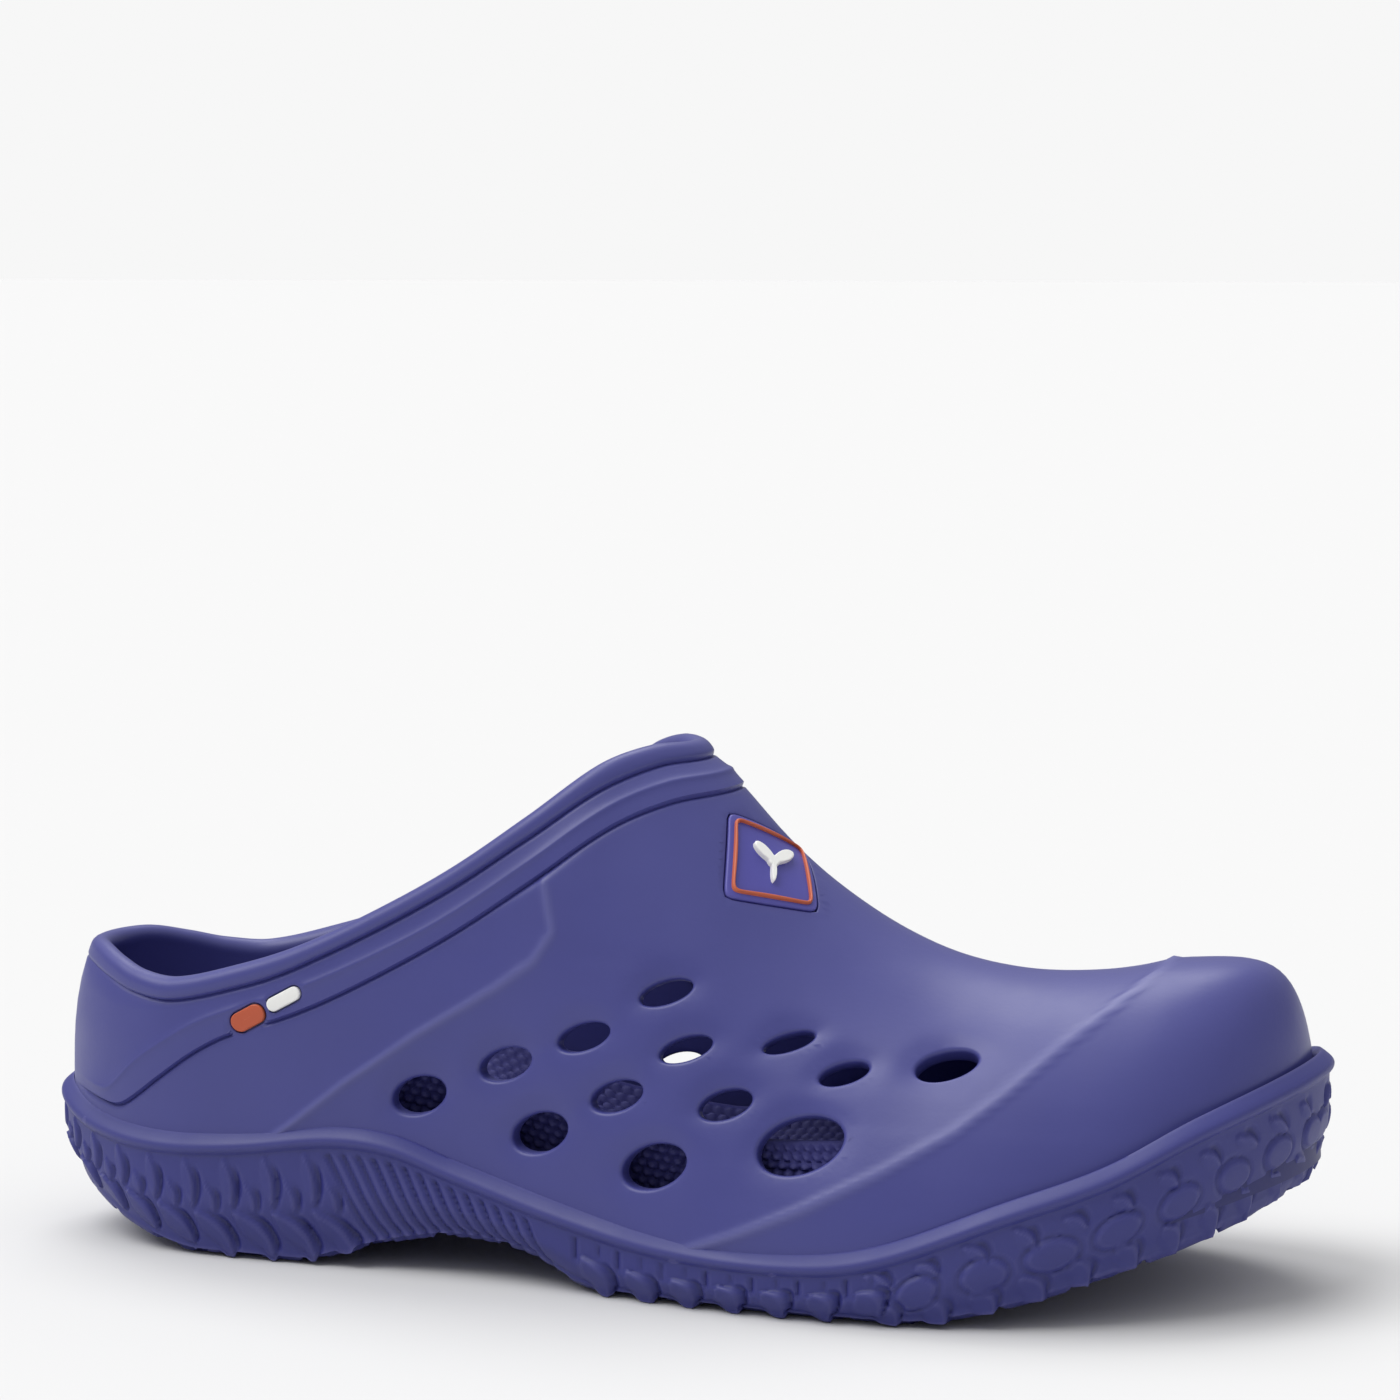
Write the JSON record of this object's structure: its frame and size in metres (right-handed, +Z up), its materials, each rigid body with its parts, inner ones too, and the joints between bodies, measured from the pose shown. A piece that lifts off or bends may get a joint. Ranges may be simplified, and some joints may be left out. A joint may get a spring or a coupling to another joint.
{
  "type": "garden clog",
  "caption": "Closed-toe slip-on garden clog for the right foot with a vented foam upper, a cleated cup sole and a lift-out footbed.",
  "frame": {"origin": "on the ground plane, under the middle of the clog's box", "axes": "+X towards the toe, +Z up, -Y towards the outer side of the foot"},
  "size_m": [0.28, 0.1024, 0.1121],
  "materials": {
    "upper_foam": "satin",
    "sole_rubber": "matte",
    "footbed_foam": "matte",
    "badge_blue": "satin",
    "badge_orange": "satin",
    "badge_white": "satin"
  },
  "bodies": {
    "clog": {"upper_shell": "upper_foam", "outsole": "sole_rubber", "footbed_forefoot": "footbed_foam", "badge_plate": "badge_blue", "badge_frame": "badge_orange", "badge_motif": "badge_white", "side_mark_orange": "badge_orange", "side_mark_white": "badge_white"},
    "footbed": {"footbed_heel": "footbed_foam"}
  },
  "joints": [
    {"name": "footbed_lift", "type": "hinge", "parent": "clog", "child": "footbed", "pos_m": [0.028, 0, 0.0198], "axis": [0, 1, 0], "range_deg": [0, 35]}
  ]
}
